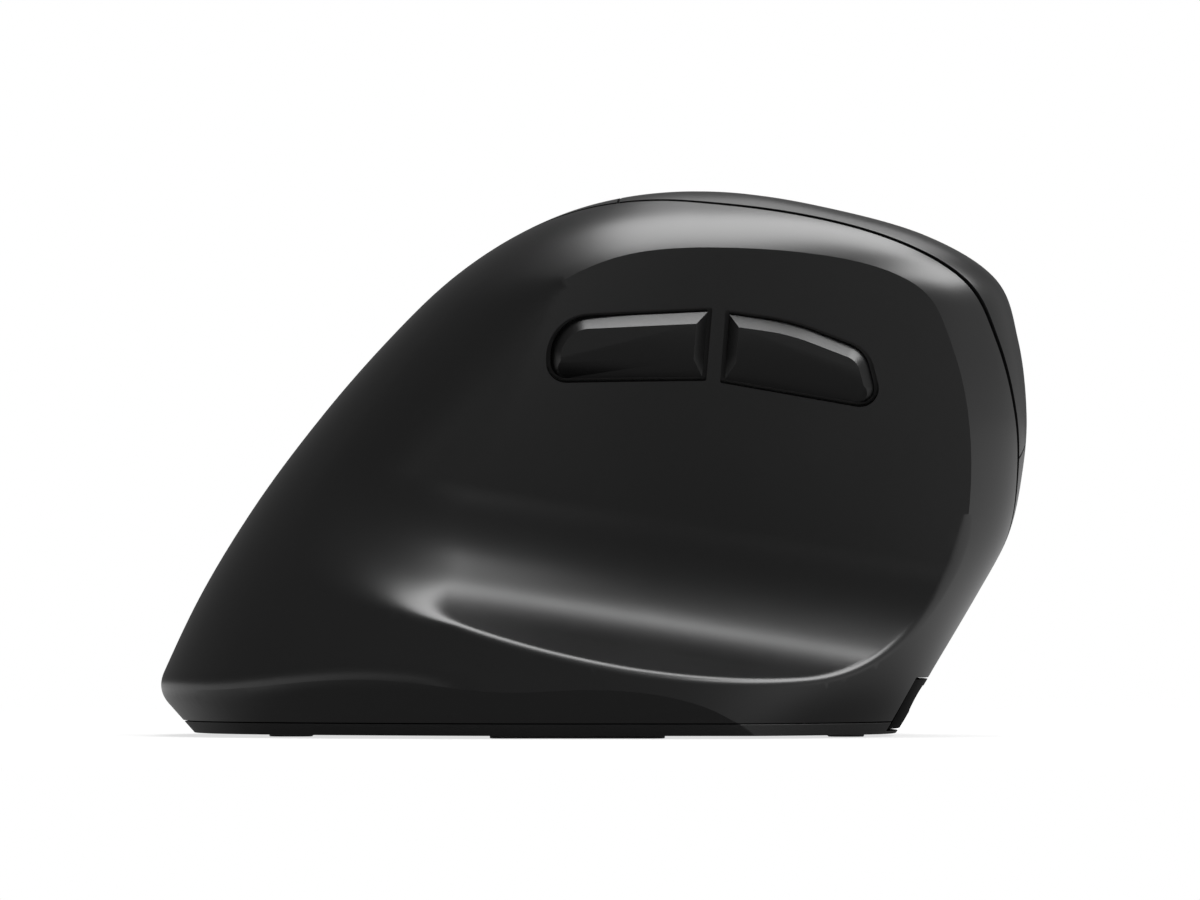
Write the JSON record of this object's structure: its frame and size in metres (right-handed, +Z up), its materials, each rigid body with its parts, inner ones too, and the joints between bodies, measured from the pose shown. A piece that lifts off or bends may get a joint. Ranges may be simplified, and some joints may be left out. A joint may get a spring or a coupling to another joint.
{
  "type": "ergonomic mouse",
  "caption": "Left-handed vertical ergonomic mouse with a thumb scoop, two main buttons, scroll wheel, resolution button, side buttons and charge socket.",
  "frame": {"origin": "on the desk, under the middle of the bounding box", "axes": "+X towards the thumb side, +Y towards the front where the fingers lie, +Z up"},
  "size_m": [0.0783, 0.1203, 0.0752],
  "materials": {
    "shell_black": "satin",
    "button_black": "satin",
    "insert_black": "matte",
    "base_black": "matte",
    "inner_black": "matte",
    "glide_white": "satin",
    "tyre_rubber": "matte",
    "wheel_plastic": "satin",
    "board_green": "satin",
    "switch_body": "matte",
    "plunger_white": "satin",
    "steel": "satin",
    "battery_silver": "satin",
    "lens_clear": "gloss",
    "chip_black": "matte"
  },
  "bodies": {
    "case": {"thumb_shell": "shell_black", "palm_cover": "shell_black", "base_plate": "base_black", "glide_feet": "glide_white", "base_screws": "steel", "chassis": "inner_black", "button_board": "board_green", "side_board": "board_green", "main_board": "board_green", "index_switch": "switch_body", "middle_switch": "switch_body", "wheel_switch": "switch_body", "resolution_switch": "switch_body", "back_switch": "switch_body", "forward_switch": "switch_body", "optical_sensor": "chip_black", "sensor_lens": "lens_clear", "battery": "battery_silver", "charge_socket": "steel", "port_insert": "insert_black", "power_switch": "switch_body"},
    "index_button": {"index_button": "button_black"},
    "middle_button": {"middle_button": "button_black"},
    "back_button": {"back_button": "button_black"},
    "forward_button": {"forward_button": "button_black"},
    "resolution_button": {"resolution_button": "button_black"},
    "wheel_cradle": {"wheel_cradle": "inner_black", "wheel_encoder": "switch_body", "wheel_axle": "steel"},
    "wheel": {"wheel_hub": "wheel_plastic", "wheel_tyre": "tyre_rubber"},
    "power_slider": {"power_slider": "plunger_white"},
    "index_plunger": {"index_plunger": "plunger_white"},
    "middle_plunger": {"middle_plunger": "plunger_white"},
    "wheel_plunger": {"wheel_plunger": "plunger_white"},
    "resolution_plunger": {"resolution_plunger": "plunger_white"},
    "back_plunger": {"back_plunger": "plunger_white"},
    "forward_plunger": {"forward_plunger": "plunger_white"}
  },
  "joints": [
    {"name": "index_button_press", "type": "hinge", "parent": "case", "child": "index_button", "pos_m": [-0.00591, 0.004, 0.06502], "axis": [0.5225, 0, 0.8526], "range_deg": [0, 0.3], "stiffness_Nm_per_rad": 60},
    {"name": "middle_button_press", "type": "hinge", "parent": "case", "child": "middle_button", "pos_m": [-0.01897, 0.004, 0.04371], "axis": [0.5225, 0, 0.8526], "range_deg": [0, 0.3], "stiffness_Nm_per_rad": 60},
    {"name": "back_press", "type": "slide", "parent": "case", "child": "back_button", "axis": [-0.9945, 0, 0.1045], "range_m": [0, 0.0005], "stiffness_N_per_m": 400},
    {"name": "forward_press", "type": "slide", "parent": "case", "child": "forward_button", "axis": [-0.9945, 0, 0.1045], "range_m": [0, 0.0005], "stiffness_N_per_m": 400},
    {"name": "resolution_press", "type": "slide", "parent": "case", "child": "resolution_button", "axis": [0.8526, 0, -0.5225], "range_m": [0, 0.0004], "stiffness_N_per_m": 400},
    {"name": "wheel_press", "type": "slide", "parent": "case", "child": "wheel_cradle", "axis": [0.8526, 0, -0.5225], "range_m": [0, 0.0004], "stiffness_N_per_m": 400},
    {"name": "wheel_spin", "type": "hinge", "parent": "wheel_cradle", "child": "wheel", "pos_m": [-0.00579, 0.038, 0.04971], "axis": [-0.5225, 0, -0.8526], "continuous": true},
    {"name": "power_slide", "type": "slide", "parent": "case", "child": "power_slider", "axis": [0, 1, 0], "range_m": [0, 0.003]},
    {"name": "index_switch_press", "type": "slide", "parent": "case", "child": "index_plunger", "axis": [0.8526, 0, -0.5225], "range_m": [0, 0.00012]},
    {"name": "middle_switch_press", "type": "slide", "parent": "case", "child": "middle_plunger", "axis": [0.8526, 0, -0.5225], "range_m": [0, 0.00012]},
    {"name": "wheel_switch_press", "type": "slide", "parent": "case", "child": "wheel_plunger", "axis": [0.8526, 0, -0.5225], "range_m": [0, 0.0004]},
    {"name": "resolution_switch_press", "type": "slide", "parent": "case", "child": "resolution_plunger", "axis": [0.8526, 0, -0.5225], "range_m": [0, 0.0004]},
    {"name": "back_switch_press", "type": "slide", "parent": "case", "child": "back_plunger", "axis": [-0.9945, 0, 0.1045], "range_m": [0, 0.0005]},
    {"name": "forward_switch_press", "type": "slide", "parent": "case", "child": "forward_plunger", "axis": [-0.9945, 0, 0.1045], "range_m": [0, 0.0005]}
  ],
  "couplings": [
    {"joint": "index_switch_press", "follows": "index_button_press", "m_per_rad": 0.022},
    {"joint": "middle_switch_press", "follows": "middle_button_press", "m_per_rad": 0.022},
    {"joint": "wheel_switch_press", "follows": "wheel_press", "ratio": 1},
    {"joint": "resolution_switch_press", "follows": "resolution_press", "ratio": 1},
    {"joint": "back_switch_press", "follows": "back_press", "ratio": 1},
    {"joint": "forward_switch_press", "follows": "forward_press", "ratio": 1}
  ]
}
